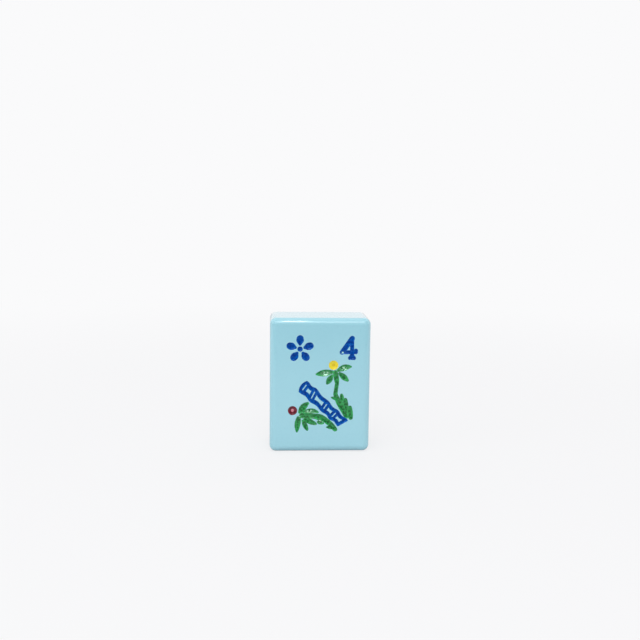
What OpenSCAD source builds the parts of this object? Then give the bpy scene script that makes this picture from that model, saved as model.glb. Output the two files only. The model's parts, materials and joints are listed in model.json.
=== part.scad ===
// Mahjong tile: a solid moulded block with an engraved and painted face.
// It stands on its lower end, with the face toward -Y. The origin is at the
// middle of the lower end.

/* [Block] */
// Width of the tile across its face
tile_width = 22.2; // [20.5:0.1:28]
// Height of the tile when it stands
tile_height = 30; // [29:0.1:38]
// Thickness of the tile from face to back
tile_thickness = 12.7; // [8:0.1:18]
// Radius of every edge and corner
edge_radius = 1.4; // [0.6:0.1:2.2]

/* [Engraving] */
// Depth of every engraved recess
recess_depth = 0.45; // [0.3:0.05:1]
// Thickness of the paint that lies on the floor of each recess
paint_thickness = 0.25; // [0.1:0.05:0.3]

/* [Corner marks] */
// Height of the numeral
numeral_height = 5.2; // [4:0.1:6]
// Distance from the top of the tile to the top of the numeral
numeral_top_margin = 4; // [3.6:0.1:6]
// Distance from the side of the tile to the numeral
numeral_side_margin = 2.9; // [2.6:0.1:4]
// Breadth of the numeral's strokes
numeral_breadth = 0.8; // [0.5:0.02:0.86]
// Diameter across the petals of the rosette
rosette_diameter = 6.2; // [5.4:0.1:6.6]
// Distance from the top of the tile to the middle of the rosette
rosette_top_margin = 6.8; // [6:0.1:8]
// Distance from the side of the tile to the middle of the rosette
rosette_side_margin = 6.6; // [6:0.1:8]
// Greatest breadth of one petal
petal_breadth = 1.8; // [1:0.05:1.9]
// Diameter of the dot between the petals
dot_diameter = 1.1; // [0.6:0.05:1.2]

/* [Bamboo picture] */
// Height at which the picture is drawn with the breadths below, before it is
// fitted to its room on the face
picture_height = 16; // [15.4:0.1:17]
// Distance from the lower end of the tile to the foot of the picture
picture_base_margin = 4.4; // [3.5:0.1:5]
// How far the middle of the picture lies to the right of the tile's middle
picture_side_shift = 0.1; // [0:0.05:0.5]
// Clearance between the top of the picture and the foot of the numeral
picture_clearance = 0.3; // [0.1:0.05:1]
// Breadth of a leaf
leaf_breadth = 1.2; // [0.8:0.05:1.3]
// Breadth of the two stems
stem_breadth = 0.8; // [0.5:0.05:0.9]
// Breadth of a blade of grass
blade_breadth = 0.7; // [0.4:0.05:0.8]
// Breadth of the bamboo cane across a joint
cane_breadth = 3.1; // [2.6:0.1:3.3]
// How far each side of the cane draws in between two joints
cane_waist = 0.28; // [0.1:0.02:0.32]
// Breadth of the lines along the cane's sides, where the cane is as broad as
// its breadth above
cane_line = 0.88; // [0.4:0.02:0.9]
// Breadth of the two lines across the cane at each joint
cane_cross_line = 0.56; // [0.4:0.02:0.6]
// Breadth of the line at each end of the cane
cane_end_line = 0.74; // [0.4:0.02:0.8]
// How far the cane's upper end bulges past its two corners
cane_end_bulge = 0.5; // [0:0.05:0.6]
// Breadth of the slit that parts each joint of the cane
cane_slit = 0.32; // [0.2:0.02:0.4]
// Distance from the cane's side to the end of a slit
cane_slit_inset = 0.74; // [0.5:0.02:0.9]
// Diameter of the blossom
blossom_diameter = 2.1; // [1.6:0.05:2.2]
// Diameter of the berry
berry_diameter = 2.05; // [1.6:0.05:2.2]
// Diameter of the eye in the blossom and in the berry
eye_diameter = 0.7; // [0.3:0.02:0.9]

/* [Hidden] */

// Overrun of every cut past the face
overrun = 0.5;
// Facets of round things, steps along a line and around the end of a stroke
$fn = 64;
line_steps = 12;
end_steps = 8;

block_colour = "#9fd0dc";
blue_paint = "#0a4a98";
green_paint = "#2d7a42";
yellow_paint = "#ecd335";
ochre_paint = "#cfa92c";
red_paint = "#8c2236";
pink_paint = "#d98a94";

// The numeral in shares of its height: from the middle of its stem to its left
// and right ends, from its foot up to its crossbar, and the reach of its serif
numeral_left_share = 0.49;
numeral_right_share = 0.24;
numeral_crossbar_share = 0.33;
numeral_serif_share = 0.075;
// The two legs of its foot: how far they spread and how high they part
numeral_leg_share = 0.085;
numeral_fork_share = 0.2;
// Breadth of the slanting stroke, in shares of the other strokes' breadth
numeral_slant_share = 1.35;

// Petals of the rosette
petal_count = 5;
// Where a petal starts and ends, in shares of the rosette's radius
petal_root_share = 0.36;
petal_tip_share = 0.75;
// Breadths of a petal at its root, middle and tip, in shares of its breadth
petal_breadth_shares = [0.35, 0.82, 0.82];

// Each stroke of the picture, in shares of the picture's height measured from
// the middle of its foot: root, tip, and how far it bows to the left of its
// way in shares of its length. Then its breadths at the root, the middle and
// the tip, in shares of the leaf's, stem's or blade's breadth
leaf_names = [
    "upper_leaf_left", "upper_leaf_low_left",
    "upper_leaf_low_right", "upper_leaf_right",
    "lower_leaf_top", "lower_leaf_broad", "lower_leaf_middle",
    "lower_leaf_inner", "lower_leaf_low_right", "lower_leaf_down"
];
leaf_shares = [
    [[0.158, 0.851], [-0.058, 0.820], 0, [0.42, 1.2, 0.3]],
    [[0.156, 0.802], [0.090, 0.690], 0, [0.3, 1.02, 0.4]],
    [[0.259, 0.834], [0.370, 0.733], 0, [0.3, 1.02, 0.45]],
    [[0.243, 0.874], [0.414, 0.924], 0.07, [0.42, 1.1, 0.32]],
    [[-0.282, 0.290], [-0.174, 0.412], 0.07, [0.5, 1.12, 0.5]],
    [[-0.219, 0.290], [-0.034, 0.288], 0.1, [0.26, 0.86, 0.3]],
    [[-0.212, 0.184], [-0.062, 0.122], 0, [0.24, 0.84, 0.4]],
    [[0.042, 0.132], [-0.032, 0.148], 0, [0.3, 0.66, 0.3]],
    [[-0.238, 0.166], [-0.178, 0.042], 0, [0.25, 0.8, 0.42]],
    [[-0.300, 0.206], [-0.320, 0.014], -0.02, [0.6, 1.0, 0.3]]
];
upper_stem_shares = [
    [[0.200, 0.850], [0.226, 0.700], 0, [0.6, 1.32, 1.05]],
    [[0.226, 0.700], [0.204, 0.540], 0, [1.05, 1.02, 1.1]],
    [[0.204, 0.540], [0.366, 0.226], -0.025, [1.1, 1.4, 0.6]],
    [[0.208, 0.480], [0.152, 0.496], 0, [0.95, 0.75, 0.3]]
];
lower_stem_shares = [
    [[-0.262, 0.240], [-0.075, 0.232], 0.02, [0.85, 1.2, 1.3]],
    [[-0.075, 0.232], [0.072, 0.178], 0.08, [1.3, 1.42, 1.4]],
    [[0.072, 0.178], [0.208, 0.044], 0.03, [1.4, 1.4, 1.15]],
    [[0.180, 0.076], [0.086, 0.077], 0, [1.25, 1.0, 0.25]]
];
blade_shares = [
    [[0.304, 0.460], [0.290, 0.528], 0, [0.5, 1.1, 0.9]],
    [[0.366, 0.318], [0.346, 0.462], 0, [0.5, 1.1, 1.0]],
    [[0.424, 0.206], [0.410, 0.356], 0, [1.1, 1.4, 1.0]]
];
blossom_share = [0.175, 0.945];
berry_share = [-0.382, 0.311];

// Half the breadth and the whole height of the picture's room on the flat of
// the face
picture_room = [
    tile_width / 2 - edge_radius - picture_side_shift,
    tile_height - numeral_top_margin - numeral_height - picture_clearance - picture_base_margin
];
// How far the drawn picture reaches from its middle line, which is at the berry
picture_reach = berry_diameter / 2 - berry_share.x * picture_height;
// How much the drawn picture grows or shrinks to fill its room
picture_fit = min(picture_room.x / picture_reach, picture_room.y / picture_height);

// The cane: the middles of its joints and of its far end, in shares of the
// picture's height. The turn of each is in degrees, and its breadth is in
// shares of the cane's breadth
joint_shares = [[-0.222, 0.634], [-0.102, 0.529], [0.066, 0.368], [0.187, 0.249], [0.300, 0.147]];
joint_turns = [54, 64, 57, 46, 30];
joint_breadth_shares = [0.97, 1.04, 0.89, 0.88, 0.84];

// Turns a vector a quarter turn to the left
function across(way) = [-way.y, way.x];

// A vector of length one along a way
function unit(way) = way / norm(way);

// A value or point part of the way from one to another
function between(from, to, part) = (1 - part) * from + part * to;

// The turning point of a bowed line from root to tip
function turning_point(root, tip, bow) = (root + tip) / 2 + 2 * bow * across(tip - root);

// A point of a bowed line, and the way that the line goes there
function on_line(root, turn, tip, part) = between(between(root, turn, part), between(turn, tip, part), part);
function way_of_line(root, turn, tip, part) = unit(between(turn - root, tip - turn, part));

// The breadth of a stroke along its line, from its three breadths
function breadth_at(breadths, part) =
    between(breadths[0], breadths[2], part)
    + 4 * part * (1 - part) * (breadths[1] - (breadths[0] + breadths[2]) / 2);

// One side of a stroke, and the round end at its root or tip
function stroke_side(root, turn, tip, breadths, side) = [
    for (i = [0 : line_steps])
        let (part = i / line_steps)
        on_line(root, turn, tip, part)
        + side * across(way_of_line(root, turn, tip, part)) * breadth_at(breadths, part) / 2
];
function stroke_end(middle, way, breadth) = [
    for (i = [1 : end_steps - 1])
        let (a = 90 - 180 * i / end_steps)
        middle + (cos(a) * way + sin(a) * across(way)) * breadth / 2
];
function backward(points) = [for (i = [len(points) - 1 : -1 : 0]) points[i]];

// The whole outline of a stroke
module stroke(root, tip, bow, breadths) {
    turn = turning_point(root, tip, bow);
    polygon(concat(
        stroke_side(root, turn, tip, breadths, 1),
        stroke_end(tip, way_of_line(root, turn, tip, 1), breadths[2]),
        backward(stroke_side(root, turn, tip, breadths, -1)),
        stroke_end(root, -way_of_line(root, turn, tip, 0), breadths[0])
    ));
}

// Sets a piece of the drawn picture into the picture's room
module in_picture_room()
    translate([picture_side_shift, picture_base_margin])
        scale(picture_fit)
            children();

// A row of one of the tables, drawn at the picture's height
module picture_stroke(row, breadth)
    in_picture_room()
        stroke(row[0] * picture_height, row[1] * picture_height, row[2], row[3] * breadth);

module picture_dot(share, diameter)
    in_picture_room()
        translate(share * picture_height)
            circle(d = diameter);

module numeral_outline() {
    right_end = numeral_right_share * numeral_height;
    foot = [
        tile_width / 2 - numeral_side_margin - right_end,
        tile_height - numeral_top_margin - numeral_height
    ];
    half = numeral_breadth / 2;
    even = [numeral_breadth, numeral_breadth, numeral_breadth];
    bar = numeral_crossbar_share * numeral_height;
    left = half - numeral_left_share * numeral_height;
    right = right_end - half;
    top = numeral_height - half;
    serif = numeral_serif_share * numeral_height;
    leg = numeral_leg_share * numeral_height;
    fork = numeral_fork_share * numeral_height;
    translate(foot) {
        stroke([0, half], [0, top], 0, even);
        stroke([left, bar], [right, bar], 0, even);
        stroke([left, bar], [0, top], 0, even * numeral_slant_share);
        stroke([right, bar], [right, bar + serif], 0, even);
        for (side = [-1, 1]) stroke([0, fork], [side * leg, half], 0, even);
    }
}

module at_rosette()
    translate([rosette_side_margin - tile_width / 2, tile_height - rosette_top_margin])
        children();

module petal_outline(i)
    at_rosette()
        rotate(90 + i * 360 / petal_count)
            stroke(
                [petal_root_share * rosette_diameter / 2, 0],
                [petal_tip_share * rosette_diameter / 2, 0],
                0,
                petal_breadth_shares * petal_breadth
            );

module dot_outline()
    at_rosette()
        circle(d = dot_diameter);

module blossom_outline() picture_dot(blossom_share, blossom_diameter);
module blossom_eye_outline() picture_dot(blossom_share, eye_diameter);
module berry_outline() picture_dot(berry_share, berry_diameter);
module berry_eye_outline() picture_dot(berry_share, eye_diameter);

module leaf_outline(i) picture_stroke(leaf_shares[i], leaf_breadth);
module blade_outline(i) picture_stroke(blade_shares[i], blade_breadth);

module upper_stem_outline()
    for (row = upper_stem_shares)
        picture_stroke(row, stem_breadth);

module lower_stem_outline()
    for (row = lower_stem_shares)
        picture_stroke(row, stem_breadth);

// Middles of the cane's joints, the ways across them and their breadths
joint_middles = [for (share = joint_shares) share * picture_height];
joint_crosses = [for (turn = joint_turns) [cos(turn), sin(turn)]];
joint_breadths = [for (share = joint_breadth_shares) share * cane_breadth];
joint_lines = [for (share = joint_breadth_shares) share * cane_line];
last_joint = len(joint_shares) - 1;

// Half the depth of a joint along the cane: a line and half the slit. The
// upper end reaches less far at its corners, and the last joint has one line
// and no slit
joint_reach = cane_cross_line + cane_slit / 2;
corner_reach = cane_end_line + cane_slit / 2 - cane_end_bulge;
end_reach = cane_end_line / 2;

// A point on one side of the cane, part of the way from joint i to the next,
// and inset from the side by so many of its lines
function cane_side_point(i, part, side, lines) =
    let (
        half = between(joint_breadths[i], joint_breadths[i + 1], part) / 2,
        inset = lines * between(joint_lines[i], joint_lines[i + 1], part),
        drawn_in = cane_waist * (1 - cos(360 * part)) / 2,
        cross = unit(between(joint_crosses[i], joint_crosses[i + 1], part))
    )
    between(joint_middles[i], joint_middles[i + 1], part) + side * (half - drawn_in - inset) * cross;

// One side of the whole cane, from the first joint to the last
function cane_side(side) = concat(
    [
        for (i = [0 : last_joint - 1], step = [0 : line_steps - 1])
            cane_side_point(i, step / line_steps, side, 0)
    ],
    [cane_side_point(last_joint - 1, 1, side, 0)]
);

// A point of the cane's end, beyond the middle line of joint i: a corner, or a
// point between the two corners
function cane_end_point(i, side, reach) =
    joint_middles[i] + side * joint_breadths[i] / 2 * joint_crosses[i] + reach * across(joint_crosses[i]);

// The bulging upper end, from its left corner to its right one
function cane_upper_end() = [
    for (step = [0 : line_steps])
        let (side = 2 * step / line_steps - 1)
        cane_end_point(0, side, corner_reach + cane_end_bulge * (1 - side * side))
];

// The open space inside the lines, between joint i and the next
module cane_window(i) {
    stretch = norm(joint_middles[i + 1] - joint_middles[i]);
    start = joint_reach / stretch;
    stop = 1 - (i + 1 == last_joint ? end_reach : joint_reach) / stretch;
    parts = [for (step = [0 : line_steps]) between(start, stop, step / line_steps)];
    polygon(concat(
        [for (part = parts) cane_side_point(i, part, 1, 1)],
        [for (part = backward(parts)) cane_side_point(i, part, -1, 1)]
    ));
}

module cane_slit_outline(i)
    translate(joint_middles[i])
        rotate(joint_turns[i])
            square([joint_breadths[i] - 2 * cane_slit_inset, cane_slit], center = true);

module cane_outline()
    in_picture_room()
        difference() {
            polygon(concat(
                cane_upper_end(),
                cane_side(1),
                [for (side = [1, -1]) cane_end_point(last_joint, side, -end_reach)],
                backward(cane_side(-1))
            ));
            for (i = [0 : last_joint - 1]) {
                cane_slit_outline(i);
                cane_window(i);
            }
        }

// Builds a flat outline outward from the floor of the recesses
module from_recess_floor(thickness)
    translate([0, recess_depth - tile_thickness / 2, 0])
        rotate([90, 0, 0])
            linear_extrude(height = thickness)
                children();

module recess() from_recess_floor(recess_depth + overrun) children();
module paint(shade) color(shade) from_recess_floor(paint_thickness) children();

// A box with round edges and corners, standing on its lower end
module rounded_block() {
    inner = [
        tile_width - 2 * edge_radius,
        tile_thickness - 2 * edge_radius,
        tile_height - 2 * edge_radius
    ];
    translate([0, 0, tile_height / 2]) {
        cube([tile_width, inner.y, inner.z], center = true);
        cube([inner.x, tile_thickness, inner.z], center = true);
        cube([inner.x, inner.y, tile_height], center = true);
        for (x = [-1, 1], y = [-1, 1])
            translate([x * inner.x / 2, y * inner.y / 2, 0]) {
                cylinder(r = edge_radius, h = inner.z, center = true);
                for (z = [-1, 1])
                    translate([0, 0, z * inner.z / 2])
                        sphere(r = edge_radius);
            }
        for (y = [-1, 1], z = [-1, 1])
            translate([0, y * inner.y / 2, z * inner.z / 2])
                rotate([0, 90, 0])
                    cylinder(r = edge_radius, h = inner.x, center = true);
        for (x = [-1, 1], z = [-1, 1])
            translate([x * inner.x / 2, 0, z * inner.z / 2])
                rotate([90, 0, 0])
                    cylinder(r = edge_radius, h = inner.y, center = true);
    }
}

module tile_block()
    color(block_colour)
        difference() {
            rounded_block();
            recess() numeral_outline();
            for (i = [0 : petal_count - 1]) recess() petal_outline(i);
            recess() dot_outline();
            recess() cane_outline();
            recess() blossom_outline();
            recess() berry_outline();
            for (i = [0 : len(leaf_shares) - 1]) recess() leaf_outline(i);
            for (i = [0 : len(blade_shares) - 1]) recess() blade_outline(i);
            recess() upper_stem_outline();
            recess() lower_stem_outline();
        }

module numeral_paint() paint(blue_paint) numeral_outline();
module rosette_petal(i) paint(blue_paint) petal_outline(i);
module rosette_dot() paint(blue_paint) dot_outline();
module bamboo_cane() paint(blue_paint) cane_outline();

module blossom_ring()
    paint(yellow_paint)
        difference() {
            blossom_outline();
            blossom_eye_outline();
        }
module blossom_eye() paint(ochre_paint) blossom_eye_outline();

module berry_ring()
    paint(red_paint)
        difference() {
            berry_outline();
            berry_eye_outline();
        }
module berry_eye() paint(pink_paint) berry_eye_outline();

module leaf(i) paint(green_paint) leaf_outline(i);
module grass_blade(i) paint(green_paint) blade_outline(i);
module upper_stem() paint(green_paint) upper_stem_outline();
module lower_stem() paint(green_paint) lower_stem_outline();

tile_block();
numeral_paint();
for (i = [0 : petal_count - 1])
    rosette_petal(i);
rosette_dot();
bamboo_cane();
blossom_ring();
blossom_eye();
berry_ring();
berry_eye();
for (i = [0 : len(leaf_names) - 1])
    leaf(i);
upper_stem();
for (i = [0 : len(blade_shares) - 1])
    grass_blade(i);
lower_stem();
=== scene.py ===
import json
import math

import bmesh
import bpy
import numpy as np
from mathutils import Matrix, Vector, kdtree
from mathutils.geometry import delaunay_2d_cdt


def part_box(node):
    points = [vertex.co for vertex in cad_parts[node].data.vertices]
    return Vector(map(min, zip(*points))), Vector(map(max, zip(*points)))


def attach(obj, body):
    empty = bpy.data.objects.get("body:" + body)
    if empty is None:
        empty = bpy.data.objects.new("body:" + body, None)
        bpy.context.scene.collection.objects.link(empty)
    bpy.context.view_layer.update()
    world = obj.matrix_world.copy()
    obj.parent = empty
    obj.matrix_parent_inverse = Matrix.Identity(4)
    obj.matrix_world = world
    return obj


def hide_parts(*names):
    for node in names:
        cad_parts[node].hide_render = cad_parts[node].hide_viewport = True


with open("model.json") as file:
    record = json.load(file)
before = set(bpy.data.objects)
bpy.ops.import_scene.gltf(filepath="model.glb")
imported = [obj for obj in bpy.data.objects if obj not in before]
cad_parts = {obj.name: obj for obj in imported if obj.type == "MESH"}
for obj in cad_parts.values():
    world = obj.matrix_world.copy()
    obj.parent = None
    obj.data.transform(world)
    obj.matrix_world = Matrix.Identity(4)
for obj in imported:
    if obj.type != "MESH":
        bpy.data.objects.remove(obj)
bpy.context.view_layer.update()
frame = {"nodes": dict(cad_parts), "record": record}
nodes = frame["nodes"]
mm = 0.001

# Camera: where the photo was taken from. Lengths in mm, angles in degrees
photoCamera = {
    "place": (-11.37, -192.72, 54.87),
    "headingRight": 3.43,
    "tiltDown": 7.69,
    "roll": 0.665,
    "lens": 48.54,
    "sensor": 36.0,
    "clipStart": 5.0,
    "clipEnd": 50000.0,
}


def makeCamera(settings):
    data = bpy.data.cameras.new("photoCamera")
    data.lens = settings["lens"]
    data.sensor_width = settings["sensor"]
    data.clip_start = settings["clipStart"] * mm
    data.clip_end = settings["clipEnd"] * mm
    camera = bpy.data.objects.new("photoCamera", data)
    bpy.context.scene.collection.objects.link(camera)
    heading = Matrix.Rotation(math.radians(-settings["headingRight"]), 4, "Z")
    tilt = Matrix.Rotation(math.radians(90 - settings["tiltDown"]), 4, "X")
    roll = Matrix.Rotation(math.radians(settings["roll"]), 4, "Z")
    place = Matrix.Translation(Vector(settings["place"]) * mm)
    camera.matrix_world = place @ heading @ tilt @ roll
    bpy.context.scene.camera = camera


makeCamera(photoCamera)
print("camera ready")


# Colours and nodes

def linear(hexColour):
    parts = [int(hexColour[i:i + 2], 16) / 255 for i in (1, 3, 5)]
    parts = [c / 12.92 if c <= 0.04045 else ((c + 0.055) / 1.055) ** 2.4 for c in parts]
    return (*parts, 1.0)


def addNode(tree, kind, settings=None, values=None, links=None):
    node = tree.nodes.new(kind)
    for name, value in (settings or {}).items():
        setattr(node, name, value)
    for name, value in (values or {}).items():
        node.inputs[name].default_value = value
    for name, source in (links or {}).items():
        tree.links.new(source, node.inputs[name])
    return node


def newMaterial(name):
    material = bpy.data.materials.new(name)
    material.use_nodes = True
    material.node_tree.nodes.clear()
    return material, material.node_tree


# Moulded melamine resin, buffed on a wheel: one even colour right through,
# a hard wet-looking gloss, and faint waves that bend the reflections
melamineTile = {
    "colour": "#98ccd9",
    "cloudColour": "#9ed1dd",
    "cloudSize": 9.0,      # mm between the slow changes of shade
    "speckColour": "#92c6d3",
    "speckSize": 0.5,      # mm, filler grains in the resin, drawn coarse enough to show
    "speckRange": (0.55, 0.8),
    "speckShare": 0.35,
    "roughness": 0.2,
    "roughnessSpread": 0.03,
    "ior": 1.65,
    "shine": 0.1,
    "skinIor": 1.6,
    "skinRoughness": 0.05,
    "buffSize": 1.6,       # mm, patches that the wheel left more or less bright
    "waveSize": 5.0,       # mm between the waves of the surface
    "waveHeight": 0.004,   # mm
}


def melamineMaterial(settings):
    material, tree = newMaterial("buffedMelamine")
    place = addNode(tree, "ShaderNodeTexCoord").outputs["Object"]
    clouds = addNode(tree, "ShaderNodeTexNoise",
                     values={"Scale": 1000 / settings["cloudSize"], "Detail": 3.0},
                     links={"Vector": place})
    cloudMix = addNode(tree, "ShaderNodeMix", {"data_type": "RGBA"},
                       links={"Factor": clouds.outputs["Fac"]})
    cloudMix.inputs[6].default_value = linear(settings["colour"])
    cloudMix.inputs[7].default_value = linear(settings["cloudColour"])
    specks = addNode(tree, "ShaderNodeTexNoise",
                     values={"Scale": 1000 / settings["speckSize"], "Detail": 2.0},
                     links={"Vector": place})
    fewest, most = settings["speckRange"]
    speckAmount = addNode(tree, "ShaderNodeMapRange",
                          values={"From Min": fewest, "From Max": most,
                                  "To Max": settings["speckShare"]},
                          links={"Value": specks.outputs["Fac"]})
    colour = addNode(tree, "ShaderNodeMix", {"data_type": "RGBA"},
                     links={"Factor": speckAmount.outputs["Result"]})
    tree.links.new(cloudMix.outputs[2], colour.inputs[6])
    colour.inputs[7].default_value = linear(settings["speckColour"])
    buff = addNode(tree, "ShaderNodeTexNoise",
                   values={"Scale": 1000 / settings["buffSize"], "Detail": 4.0},
                   links={"Vector": place})
    smoothest = settings["roughness"] - settings["roughnessSpread"]
    roughest = settings["roughness"] + settings["roughnessSpread"]
    roughness = addNode(tree, "ShaderNodeMapRange",
                        values={"To Min": smoothest, "To Max": roughest},
                        links={"Value": buff.outputs["Fac"]})
    waves = addNode(tree, "ShaderNodeTexNoise",
                    values={"Scale": 1000 / settings["waveSize"], "Detail": 1.0},
                    links={"Vector": place})
    bump = addNode(tree, "ShaderNodeBump",
                   values={"Strength": 1.0, "Distance": settings["waveHeight"] * mm},
                   links={"Height": waves.outputs["Fac"]})
    shader = addNode(tree, "ShaderNodeBsdfPrincipled",
                     values={"IOR": settings["ior"], "Specular IOR Level": settings["shine"],
                             "Coat Weight": 1.0, "Coat IOR": settings["skinIor"],
                             "Coat Roughness": settings["skinRoughness"]},
                     links={"Base Color": colour.outputs[2],
                            "Roughness": roughness.outputs["Result"],
                            "Normal": bump.outputs["Normal"]})
    addNode(tree, "ShaderNodeOutputMaterial", links={"Surface": shader.outputs["BSDF"]})
    return material


# Enamel run into the engraving and left to cure: glossy and a little hollow.
# Its colour goes darker along the rims and on the floors and paler in between: partly where the
# paint lies thicker or thinner, partly painted shade on the groove walls and a painted highlight
# between them. A few grooves also get pale painted glints
enamelPaints = {
    "blue_paint": {"name": "blueEnamel", "thin": "#006cca", "thick": "#003486", "shine": 0.12},
    "green_paint": {"name": "greenEnamel", "thin": "#3ec46a", "thick": "#065c26", "shine": 0.5},
    "yellow_paint": {"name": "yellowEnamel", "thin": "#f2e84a", "thick": "#e8d02a", "shine": 0.4},
    "ochre_paint": {"name": "ochreEnamel", "thin": "#ead83c", "thick": "#d6bc28", "shine": 0.4},
    "red_paint": {"name": "redEnamel", "thin": "#8e1a34", "thick": "#58081e", "shine": 0.5},
    # The berry's eye is pale pink: a painted highlight in the middle of its glossy bowl
    "pink_paint": {"name": "pinkHighlightEnamel", "thin": "#eaa4ae", "thick": "#d27a8a", "shine": 0.7},
}
enamelFinish = {
    "ior": 1.5,
    "roughness": 0.16,
    "depths": (0.02, 0.25),    # mm under the face, between which its cover and painted shade change
    "streakSize": 0.5,     # mm, uneven cover of the paint
    "streakRange": (0.35, 0.65),
    "streakStrength": 0.6,
    "coverAndShade": (             # share of the way down a groove, and how dark the paint is drawn there: partly its thickness, partly painted shade on the walls
        (0.0, 0.6),
        (0.4, 0.15),
        (1.0, 0.5),
    ),
    "flowSize": 0.65,      # mm between the small waves of its surface
    "flowHeight": 0.13,    # mm
    # Painted glints: pale spots that stand in for the lamp's reflection in the glossy paint
    "glintColour": "#c8fce0",
    "glintSize": 0.35,     # mm
    "glintRange": (0.44, 0.56),
    "glintPeak": 1.5,      # how fully the painted glints cover the middle of their place
    "glintPlaces": {       # x and z of the middle of each piece's painted glints, and how far they spread along x and z, in mm
        "upper_leaf_left": (1.2, 17.65, 0.6, 0.36),
        "upper_leaf_right": (5.35, 18.75, 0.75, 0.4),
        "lower_leaf_broad": (-2.2, 9.25, 0.6, 0.22),
        "lower_leaf_inner": (0.1, 7.25, 0.8, 0.4),
        "lower_leaf_down": (-4.3, 8.0, 0.3, 0.4),
        "numeral_paint": (5.0, 22.3, 0.28, 0.22),
    },
}


def enamelMaterial(settings, finish, faceY):
    material, tree = newMaterial(settings["name"])
    here = addNode(tree, "ShaderNodeTexCoord").outputs["Object"]
    depth = addNode(tree, "ShaderNodeSeparateXYZ", links={"Vector": here}).outputs["Y"]
    palest, darkest = finish["streakRange"]
    shallow, deep = [(faceY + part) * mm for part in finish["depths"]]
    streaks = addNode(tree, "ShaderNodeTexNoise",
                      values={"Scale": 1000 / finish["streakSize"], "Detail": 3.0},
                      links={"Vector": here})
    patches = addNode(tree, "ShaderNodeMapRange", values={"From Min": palest, "From Max": darkest},
                      links={"Value": streaks.outputs["Fac"]})
    wayDown = addNode(tree, "ShaderNodeMapRange", values={"From Min": shallow, "From Max": deep},
                      links={"Value": depth})
    # Darker at the rims and floors, paler between: paint thickness together with painted shade on
    # the walls and a painted highlight
    coverAndShade = addNode(tree, "ShaderNodeValToRGB", links={"Fac": wayDown.outputs["Result"]})
    stops = coverAndShade.color_ramp.elements
    while len(stops) < len(finish["coverAndShade"]):
        stops.new(0.5)
    for stop, (place, share) in zip(stops, finish["coverAndShade"]):
        stop.position = place
        stop.color = (share, share, share, 1)
    uneven = addNode(tree, "ShaderNodeMath", {"operation": "MULTIPLY_ADD", "use_clamp": True},
                     links={0: patches.outputs["Result"], 2: coverAndShade.outputs["Color"]})
    uneven.inputs[1].default_value = finish["streakStrength"]
    colour = addNode(tree, "ShaderNodeMix", {"data_type": "RGBA"},
                     links={"Factor": uneven.outputs["Value"]})
    colour.inputs[6].default_value = linear(settings["thin"])
    colour.inputs[7].default_value = linear(settings["thick"])
    # Painted glints: pale spots drawn into the colour, only where the piece's glint attribute lets
    # them
    spots = addNode(tree, "ShaderNodeTexNoise",
                    values={"Scale": 1000 / finish["glintSize"], "Detail": 1.0},
                    links={"Vector": here})
    fewest, most = finish["glintRange"]
    glintMask = addNode(tree, "ShaderNodeMapRange", values={"From Min": fewest, "From Max": most},
                       links={"Value": spots.outputs["Fac"]})
    where = addNode(tree, "ShaderNodeAttribute", {"attribute_name": "paintedGlintShare"})
    glints = addNode(tree, "ShaderNodeMath", {"operation": "MULTIPLY", "use_clamp": True},
                     links={0: glintMask.outputs["Result"], 1: where.outputs["Fac"]})
    glinted = addNode(tree, "ShaderNodeMix", {"data_type": "RGBA"},
                      links={"Factor": glints.outputs["Value"]})
    tree.links.new(colour.outputs[2], glinted.inputs[6])
    glinted.inputs[7].default_value = linear(finish["glintColour"])
    flow = addNode(tree, "ShaderNodeTexNoise",
                   values={"Scale": 1000 / finish["flowSize"], "Detail": 2.0},
                   links={"Vector": here})
    bump = addNode(tree, "ShaderNodeBump",
                   values={"Strength": 1.0, "Distance": finish["flowHeight"] * mm},
                   links={"Height": flow.outputs["Fac"]})
    shader = addNode(tree, "ShaderNodeBsdfPrincipled",
                     values={"IOR": finish["ior"], "Roughness": finish["roughness"],
                             "Specular IOR Level": settings["shine"]},
                     links={"Base Color": glinted.outputs[2], "Normal": bump.outputs["Normal"]})
    addNode(tree, "ShaderNodeOutputMaterial", links={"Surface": shader.outputs["BSDF"]})
    return material


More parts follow.
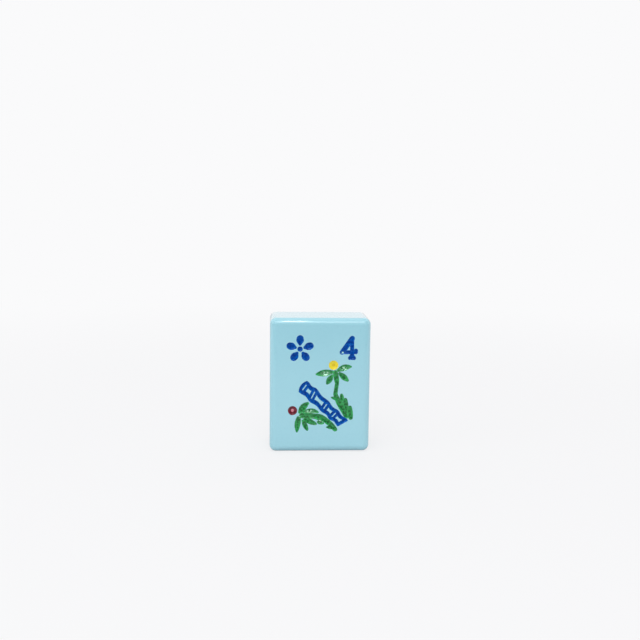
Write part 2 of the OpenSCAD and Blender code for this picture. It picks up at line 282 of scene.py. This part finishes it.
# The engraving: scooped grooves under every painted node's outline
engraving = {
    "depth": 0.45,         # mm at the middle of the widest grooves
    "reach": 0.62,         # mm from the rim to the full depth
    "scoop": 1.8,          # how hollow the walls are: at 1 they would be straight
    "lipDepth": 0.03,      # mm that the buffing wore the rim down
    "lipWidth": 0.12,      # mm beside the rim that it rounded
    "spacing": 0.1,        # mm between points along the rim
    "rings": (0.03, 0.07, 0.12, 0.18, 0.25, 0.34, 0.44, 0.56),
    "closest": 0.04,       # mm, least distance between two points
    "ringClearance": 0.95, # share of its own distance that a ring keeps from other rims
    "outerRings": 0.19,    # mm beside the rim in which it has rings outside too
    "floorGrid": 0.13,     # mm between the points on the grooves' floors
    "faceGrid": 0.7,       # mm between the points on the flat of the face
    "faceMargin": 0.3,     # mm that these keep from the rims
    "rimParts": 5,         # samples on each bit of a rim when distances are measured
    "probe": 0.02,         # mm, step that finds out which side is the inside
    "eyeMargin": 0.05,     # mm round an eye in which its ring's own hole lies
    "weld": 0.001,         # mm, corners of a node closer than this are one
    "skinWeld": 0.002,     # mm, the same for the finished block
    "joinWithin": 1e-6,    # mm, the same for the triangulation
    "frontDepth": 0.01,    # mm behind its front in which a node's front outline lies
    "leastScoop": 0.0001,  # mm below the lip, past which a point is rounded
    "roundings": 2,        # times that the outlines and the floors are smoothed
    "rounding": 0.5,       # share of the way to its neighbours that a point moves then
    "filled": 0.25,        # share of the groove's depth that the paint fills
    "paintBehind": 0.01,   # mm that the paint reaches into the block
    "spread": {            # mm that the strokes are cut broader
        "green_paint": 0.03,
        "blue_paint": 0.05,
    },
    "hubs": (              # where green strokes run together: x, z and reach in mm
        (3.4, 18.0, 0.9),
        (-3.7, 9.3, 0.6),
        (-3.8, 7.8, 1.1),
        (-2.5, 7.6, 0.8),
        (-0.2, 7.6, 0.9),
        (5.0, 11.5, 0.7),
        (5.4, 10.4, 0.8),
        (6.0, 9.2, 0.8),
        (5.9, 8.0, 0.9),
    ),
    "hubSpread": 0.21,     # mm more there
}
eyes = {"blossom_ring": "blossom_eye", "berry_ring": "berry_eye"}
paintNodes = [name for name in sorted(nodes) if name != "tile_block"]
slotOf = {part["node"]: part["material_slot"] for part in frame["record"]["subparts"]}


def flatPoints(wire):
    wire.verts.index_update()
    points = np.array([(v.co.x / mm, v.co.z / mm) for v in wire.verts])
    edges = np.array([[v.index for v in e.verts] for e in wire.edges])
    return points, edges


def within(points, outline):
    # True for the points that lie inside a closed outline
    corners, edges = outline
    inside = np.zeros(len(points), bool)
    for start, end in corners[edges]:
        crosses = (start[1] > points[:, 1]) != (end[1] > points[:, 1])
        rise = end[1] - start[1] or 1e-12
        across = (points[:, 1] - start[1]) * (end[0] - start[0]) / rise
        inside ^= crosses & (points[:, 0] < start[0] + across)
    return inside


def besideWays(points, edges):
    # Unit ways square to the outline at each of its points
    joined = [[] for point in points]
    for a, b in edges:
        joined[a].append(b)
        joined[b].append(a)
    along = np.array([points[pair[-1]] - points[pair[0]] for pair in joined])
    beside = np.stack([-along[:, 1], along[:, 0]], axis=1)
    return beside / np.linalg.norm(beside, axis=1)[:, None]


def broaden(wire, slot):
    # Moves an outline outward, further where green strokes meet
    points, edges = flatPoints(wire)
    ways = besideWays(points, edges)
    ways[within(points + engraving["probe"] * ways, (points, edges))] *= -1
    distances = np.full(len(points), engraving["spread"][slot])
    hubs = engraving["hubs"] if slot == "green_paint" else ()
    for x, z, reach in hubs:
        away = np.hypot(points[:, 0] - x, points[:, 1] - z)
        distances += engraving["hubSpread"] * np.exp(-(away / reach) ** 2)
    for vert, (x, z) in zip(wire.verts, points + distances[:, None] * ways):
        vert.co.x = x * mm
        vert.co.z = z * mm


def wireOfNode(name):
    # The outline of a paint node's front, cut short enough to bend smoothly
    wire = bmesh.new()
    wire.from_mesh(nodes[name].data)
    bmesh.ops.remove_doubles(wire, verts=wire.verts, dist=engraving["weld"] * mm)
    front = min(v.co.y for v in wire.verts)
    behind = [v for v in wire.verts if v.co.y > front + engraving["frontDepth"] * mm]
    bmesh.ops.delete(wire, geom=behind, context="VERTS")
    inner = [e for e in wire.edges if not e.is_boundary]
    bmesh.ops.delete(wire, geom=wire.faces[:], context="FACES_ONLY")
    bmesh.ops.delete(wire, geom=inner, context="EDGES")
    if name in eyes:
        low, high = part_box(eyes[name])
        middle = (low + high) / 2
        reach = (high.x - low.x) / 2 + engraving["eyeMargin"] * mm
        hole = [v for v in wire.verts
                if math.hypot(v.co.x - middle.x, v.co.z - middle.z) < reach]
        bmesh.ops.delete(wire, geom=hole, context="VERTS")
    bmesh.ops.remove_doubles(wire, verts=wire.verts, dist=engraving["closest"] * mm)
    while True:
        long = [e for e in wire.edges if e.calc_length() > engraving["spacing"] * mm]
        if not long:
            break
        bmesh.ops.subdivide_edges(wire, edges=long, cuts=1)
    if slotOf[name] in engraving["spread"]:
        broaden(wire, slotOf[name])
    for step in range(engraving["roundings"]):
        bmesh.ops.smooth_vert(wire, verts=wire.verts, factor=engraving["rounding"],
                              use_axis_x=True, use_axis_z=True)
    return wire


outlines = {}
for name in paintNodes:
    wire = wireOfNode(name)
    outlines[name] = flatPoints(wire)
    wire.free()
rims = {name: outline for name, outline in outlines.items() if name not in eyes.values()}
print("outlines read:", sum(len(points) for points, edges in outlines.values()), "points")


# The face of the tile as one fine skin: points in rings along every rim, so
# that the grooves get clean walls, joined up by a triangulation

def treeOf(someRims):
    # Rims cut fine, to measure how far a point lies from the nearest of them
    samples = []
    for points, edges in someRims:
        for part in np.linspace(0, 1, engraving["rimParts"], endpoint=False):
            samples.append(points[edges[:, 0]] * (1 - part) + points[edges[:, 1]] * part)
    samples = np.concatenate(samples)
    tree = kdtree.KDTree(len(samples))
    for i, (x, z) in enumerate(samples):
        tree.insert((x, z, 0), i)
    tree.balance()
    return tree


rimTree = treeOf(rims.values())


def fromRim(points, tree=rimTree):
    return np.array([tree.find((x, z, 0))[2] for x, z in points])


class PointSet:
    # Points kept at least a set distance apart
    def __init__(self, least):
        self.least = least
        self.points = []
        self.cells = {}

    def cell(self, point):
        return int(point[0] // self.least), int(point[1] // self.least)

    def crowded(self, point):
        column, row = self.cell(point)
        return any(
            math.hypot(point[0] - other[0], point[1] - other[1]) < self.least
            for i in (-1, 0, 1) for j in (-1, 0, 1)
            for other in self.cells.get((column + i, row + j), ())
        )

    def add(self, point, always=False):
        if always or not self.crowded(point):
            self.points.append(tuple(point))
            self.cells.setdefault(self.cell(point), []).append(tuple(point))


def gridPoints(low, high, step):
    across = np.arange(low[0] + step, high[0], step)
    up = np.arange(low[1] + step, high[1], step)
    return np.array([(x, z) for x in across for z in up])


def withinAny(points):
    inside = np.zeros(len(points), bool)
    for outline in rims.values():
        inside |= within(points, outline)
    return inside


def facePoints(corners):
    kept = PointSet(engraving["closest"])
    edges = []
    for corner in corners:
        kept.add(corner, always=True)
    edges += [(i, (i + 1) % 4) for i in range(4)]
    for points, ends in outlines.values():
        first = len(kept.points)
        for point in points:
            kept.add(point, always=True)
        edges += [(first + a, first + b) for a, b in ends.tolist()]
    for offset in engraving["rings"]:
        for points, ends in rims.values():
            ways = besideWays(points, ends) * offset
            for ring in (points + ways, points - ways):
                clear = fromRim(ring) > engraving["ringClearance"] * offset
                inside = within(ring, (points, ends))
                wanted = clear & (inside | (offset < engraving["outerRings"]))
                for point in ring[wanted]:
                    kept.add(point)
    low, high = np.min(corners, axis=0), np.max(corners, axis=0)
    floors = gridPoints(low, high, engraving["floorGrid"])
    floors = floors[withinAny(floors)]
    for point in floors[fromRim(floors) > engraving["rings"][-1]]:
        kept.add(point)
    flats = gridPoints(low, high, engraving["faceGrid"])
    flats = flats[~withinAny(flats)]
    for point in flats[fromRim(flats) > engraving["faceMargin"]]:
        kept.add(point)
    return kept.points, edges


def grooveDepths(points):
    # In mm below the face: a rounded lip outside the rims, and inside them the
    # scoop of each groove, the deeper one where two grooves run together
    lip = engraving["lipDepth"]
    depths = lip * np.clip(1 - fromRim(points) / engraving["lipWidth"], 0, 1) ** 2
    for rim in rims.values():
        inside = np.flatnonzero(within(points, rim))
        part = np.clip(fromRim(points[inside], treeOf([rim])) / engraving["reach"], 0, 1)
        scoop = lip + (engraving["depth"] - lip) * (1 - (1 - part) ** engraving["scoop"])
        depths[inside] = np.maximum(depths[inside], scoop)
    return depths, depths > lip + engraving["leastScoop"]


block = {
    "edgeRadius": 1.4,     # mm
    "edgeSegments": 12,
    "border": 0.15,        # mm of flat left round each big face, to keep its shading flat
}


def roundedBlock(settings):
    low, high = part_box("tile_block")
    solid = bmesh.new()
    bmesh.ops.create_cube(solid, size=1)
    bmesh.ops.scale(solid, vec=high - low, verts=solid.verts)
    bmesh.ops.translate(solid, vec=(low + high) / 2, verts=solid.verts)
    bmesh.ops.bevel(solid, geom=solid.edges[:], offset=settings["edgeRadius"] * mm,
                    offset_type="OFFSET", segments=settings["edgeSegments"],
                    affect="EDGES", profile=0.5, material=-1)
    flats = sorted(solid.faces, key=lambda face: face.calc_area())[-6:]
    bmesh.ops.inset_individual(solid, faces=flats, thickness=settings["border"] * mm)
    front = min(flats, key=lambda face: face.calc_center_median().y)
    return solid, front


def pieceFrom(shape, name, material, replaced):
    bmesh.ops.recalc_face_normals(shape, faces=shape.faces)
    for face in shape.faces:
        face.smooth = True
    mesh = bpy.data.meshes.new(name)
    shape.to_mesh(mesh)
    shape.free()
    mesh.materials.append(material)
    piece = bpy.data.objects.new(name, mesh)
    bpy.context.scene.collection.objects.link(piece)
    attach(piece, "root")
    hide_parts(replaced)
    return piece


solid, front = roundedBlock(block)
faceY = front.calc_center_median().y / mm
corners = np.array([(v.co.x / mm, v.co.z / mm) for v in front.verts])
bmesh.ops.delete(solid, geom=[front], context="FACES_ONLY")
points, edges = facePoints(corners)
print("points on the face:", len(points))
joined = delaunay_2d_cdt([Vector(point) for point in points], edges, [], 0,
                         engraving["joinWithin"])
flat = np.array([tuple(point) for point in joined[0]])
triangles = np.array(joined[2])
print("triangles on the face:", len(triangles))
depths, scooped = grooveDepths(flat)

skinVerts = [solid.verts.new((x * mm, (faceY + depth) * mm, z * mm))
             for (x, z), depth in zip(flat, depths)]
for a, b, c in triangles.tolist():
    solid.faces.new((skinVerts[a], skinVerts[b], skinVerts[c]))
hollow = [vert for vert, isScooped in zip(skinVerts, scooped) if isScooped]
for step in range(engraving["roundings"]):
    bmesh.ops.smooth_vert(solid, verts=hollow, factor=engraving["rounding"], use_axis_y=True)
depths = np.array([vert.co.y / mm - faceY for vert in skinVerts])
bmesh.ops.remove_doubles(solid, verts=solid.verts, dist=engraving["skinWeld"] * mm)
pieceFrom(solid, "engravedBlock", melamineMaterial(melamineTile), "tile_block")
print("block engraved")


# The paint: a film over each groove, thin at the rim and hollow in the middle
middles = flat[triangles].mean(axis=1)
unfilled = 1 - engraving["filled"]
paintDepths = engraving["lipDepth"] + (depths - engraving["lipDepth"]) * unfilled
painted = np.zeros(len(triangles), bool)


def facePlace(vert):
    # The same for a point of the film and the one behind it
    return round(vert.co.x / mm, 4), round(vert.co.z / mm, 4)


def filmOn(name):
    # Two green strokes that run together meet where the first one ends
    covered = within(middles, outlines[name]) & ~painted
    if name in eyes:
        covered &= ~within(middles, outlines[eyes[name]])
    painted[covered] = True
    chosen = triangles[covered]
    used = np.unique(chosen)
    film = bmesh.new()
    verts = {i: film.verts.new((flat[i, 0] * mm, (faceY + paintDepths[i]) * mm, flat[i, 1] * mm))
             for i in used}
    faces = [film.faces.new([verts[i] for i in corner]) for corner in chosen]
    grown = bmesh.ops.extrude_face_region(film, geom=faces)["geom"]
    backs = [part for part in grown if isinstance(part, bmesh.types.BMVert)]
    frontOf = {facePlace(vert): i for i, vert in verts.items()}
    for vert in backs:
        vert.co.y = (faceY + depths[frontOf[facePlace(vert)]] + engraving["paintBehind"]) * mm
    return film


# Sets where a piece shows its painted glints: strongest at the given middle, fading outward
def markPaintedGlints(piece, x, z, reachX, reachZ):
    share = piece.data.attributes.new("paintedGlintShare", "FLOAT", "POINT")
    for vert, value in zip(piece.data.vertices, share.data):
        away = math.hypot((vert.co.x / mm - x) / reachX, (vert.co.z / mm - z) / reachZ)
        value.value = enamelFinish["glintPeak"] * math.exp(-away ** 2)


paintMaterials = {
    slot: enamelMaterial(settings, enamelFinish, faceY)
    for slot, settings in enamelPaints.items()
}
for name in paintNodes:
    slot = slotOf[name]
    film = pieceFrom(filmOn(name), name + ".film", paintMaterials[slot], name)
    if name in enamelFinish["glintPlaces"]:
        markPaintedGlints(film, *enamelFinish["glintPlaces"][name])
print("paint laid in", len(paintNodes), "grooves")


# The room: a pale floor without an edge, and soft studio light
room = {
    "floorColour": "#e2e2e3",
    "floorRoughness": 0.9,
    "floorShine": 0.2,
    "bounceColour": "#d4d4d6",
    "floorSize": 8.0,      # metres
    "backColour": "#fafafb",
    "fadeStart": 30,       # mm from the tile, where the floor starts to melt into the backdrop
    "fadeEnd": 300,
    "leastFade": 0.75,     # share of the backdrop's glow in the floor round the tile
    "darkStart": 50,       # mm in front of the tile, where the reflected floor starts to darken
    "darkEnd": 180,
    "darkColour": "#54585e",
    "darkWays": (-0.15, -0.5), # Y of the mirrored way where that room begins and where it is full
    "fillStrength": 0.87,
    "fillColour": "#fbfbfd",
}


def makeFloor(settings):
    shape = bmesh.new()
    bmesh.ops.create_grid(shape, x_segments=1, y_segments=1, size=settings["floorSize"] / 2)
    mesh = bpy.data.meshes.new("floor")
    shape.to_mesh(mesh)
    shape.free()
    floor = bpy.data.objects.new("floor", mesh)
    bpy.context.scene.collection.objects.link(floor)
    material, tree = newMaterial("whitePaperSweep")
    path = addNode(tree, "ShaderNodeLightPath").outputs
    seen = path["Is Camera Ray"]
    mirrored = path["Is Glossy Ray"]
    # The floor throws less light back up than a white one, so the light keeps its direction
    white = addNode(tree, "ShaderNodeMath", {"operation": "MAXIMUM"},
                    links={0: seen, 1: mirrored})
    colour = addNode(tree, "ShaderNodeMix", {"data_type": "RGBA"},
                     links={"Factor": white.outputs["Value"]})
    colour.inputs[6].default_value = linear(settings["bounceColour"])
    colour.inputs[7].default_value = linear(settings["floorColour"])
    paper = addNode(tree, "ShaderNodeBsdfPrincipled",
                    values={"Roughness": settings["floorRoughness"],
                            "Specular IOR Level": settings["floorShine"]},
                    links={"Base Color": colour.outputs[2]})
    glow = addNode(tree, "ShaderNodeEmission",
                   values={"Color": linear(settings["backColour"]), "Strength": 1.0})
    place = addNode(tree, "ShaderNodeTexCoord").outputs["Object"]
    away = addNode(tree, "ShaderNodeVectorMath", {"operation": "LENGTH"}, links={0: place})
    fade = addNode(tree, "ShaderNodeMapRange", {"interpolation_type": "SMOOTHSTEP"},
                   values={"From Min": settings["fadeStart"] * mm,
                           "From Max": settings["fadeEnd"] * mm,
                           "To Min": settings["leastFade"]},
                   links={"Value": away.outputs["Value"]})
    share = addNode(tree, "ShaderNodeMath", {"operation": "MULTIPLY"},
                    links={0: fade.outputs["Result"], 1: seen})
    faded = addNode(tree, "ShaderNodeMixShader",
                    links={0: share.outputs["Value"], 1: paper.outputs["BSDF"],
                           2: glow.outputs["Emission"]})
    # What the gloss of the face mirrors: the unlit room, far out in front of it
    unlit = addNode(tree, "ShaderNodeEmission",
                    values={"Color": linear(settings["darkColour"]), "Strength": 1.0})
    ahead = addNode(tree, "ShaderNodeSeparateXYZ", links={"Vector": place}).outputs["Y"]
    dark = addNode(tree, "ShaderNodeMapRange",
                   values={"From Min": -settings["darkStart"] * mm,
                           "From Max": -settings["darkEnd"] * mm},
                   links={"Value": ahead})
    darkShare = addNode(tree, "ShaderNodeMath", {"operation": "MULTIPLY"},
                        links={0: dark.outputs["Result"], 1: mirrored})
    mix = addNode(tree, "ShaderNodeMixShader",
                  links={0: darkShare.outputs["Value"], 1: faded.outputs["Shader"],
                         2: unlit.outputs["Emission"]})
    addNode(tree, "ShaderNodeOutputMaterial", links={"Surface": mix.outputs["Shader"]})
    mesh.materials.append(material)


def makeWorld(settings):
    world = bpy.data.worlds.new("studio")
    world.use_nodes = True
    tree = world.node_tree
    tree.nodes.clear()
    path = addNode(tree, "ShaderNodeLightPath")
    seen = addNode(tree, "ShaderNodeMath", {"operation": "MAXIMUM"},
                   links={0: path.outputs["Is Camera Ray"], 1: path.outputs["Is Glossy Ray"]})
    seenToo = addNode(tree, "ShaderNodeMath", {"operation": "MAXIMUM"},
                      links={0: seen.outputs["Value"], 1: path.outputs["Is Transmission Ray"]})
    fill = addNode(tree, "ShaderNodeBackground",
                   values={"Color": linear(settings["fillColour"]),
                           "Strength": settings["fillStrength"]})
    # What gloss mirrors: the white backdrop behind the tile, the unlit room in front of it
    way = addNode(tree, "ShaderNodeTexCoord").outputs["Generated"]
    ahead = addNode(tree, "ShaderNodeSeparateXYZ", links={"Vector": way}).outputs["Y"]
    start, full = settings["darkWays"]
    dark = addNode(tree, "ShaderNodeMapRange", values={"From Min": start, "From Max": full},
                   links={"Value": ahead})
    darkShare = addNode(tree, "ShaderNodeMath", {"operation": "MULTIPLY"},
                        links={0: dark.outputs["Result"], 1: path.outputs["Is Glossy Ray"]})
    shown = addNode(tree, "ShaderNodeMix", {"data_type": "RGBA"},
                    links={"Factor": darkShare.outputs["Value"]})
    shown.inputs[6].default_value = linear(settings["backColour"])
    shown.inputs[7].default_value = linear(settings["darkColour"])
    back = addNode(tree, "ShaderNodeBackground", values={"Strength": 1.0},
                   links={"Color": shown.outputs[2]})
    mix = addNode(tree, "ShaderNodeMixShader", links={0: seenToo.outputs["Value"]})
    tree.links.new(fill.outputs["Background"], mix.inputs[1])
    tree.links.new(back.outputs["Background"], mix.inputs[2])
    addNode(tree, "ShaderNodeOutputWorld", links={"Surface": mix.outputs["Shader"]})
    bpy.context.scene.world = world


# Soft boxes: place and aim in mm, size in mm, power in watts
softBoxes = {
    "frontTop": {"place": (-120, -700, 715), "aim": (0, 0, 15), "size": (800, 600), "power": 3.1},
    "stripLamp": {"place": (-8, -260, 390), "aim": (0, 0, 15), "size": (36, 140), "power": 0.13},
    "leftWindow": {"place": (-420, -160, 220), "aim": (0, 0, 15), "size": (260, 300), "power": 0.2},
}


def makeSoftBox(name, settings):
    data = bpy.data.lights.new(name, "AREA")
    data.shape = "RECTANGLE"
    data.size = settings["size"][0] * mm
    data.size_y = settings["size"][1] * mm
    data.energy = settings["power"]
    lamp = bpy.data.objects.new(name, data)
    bpy.context.scene.collection.objects.link(lamp)
    place = Vector(settings["place"]) * mm
    lookingWay = Vector(settings["aim"]) * mm - place
    lamp.location = place
    lamp.rotation_euler = lookingWay.to_track_quat("-Z", "Y").to_euler()


makeFloor(room)
makeWorld(room)
for name, settings in softBoxes.items():
    makeSoftBox(name, settings)
bpy.context.scene.view_settings.view_transform = "Standard"
print("room lit")
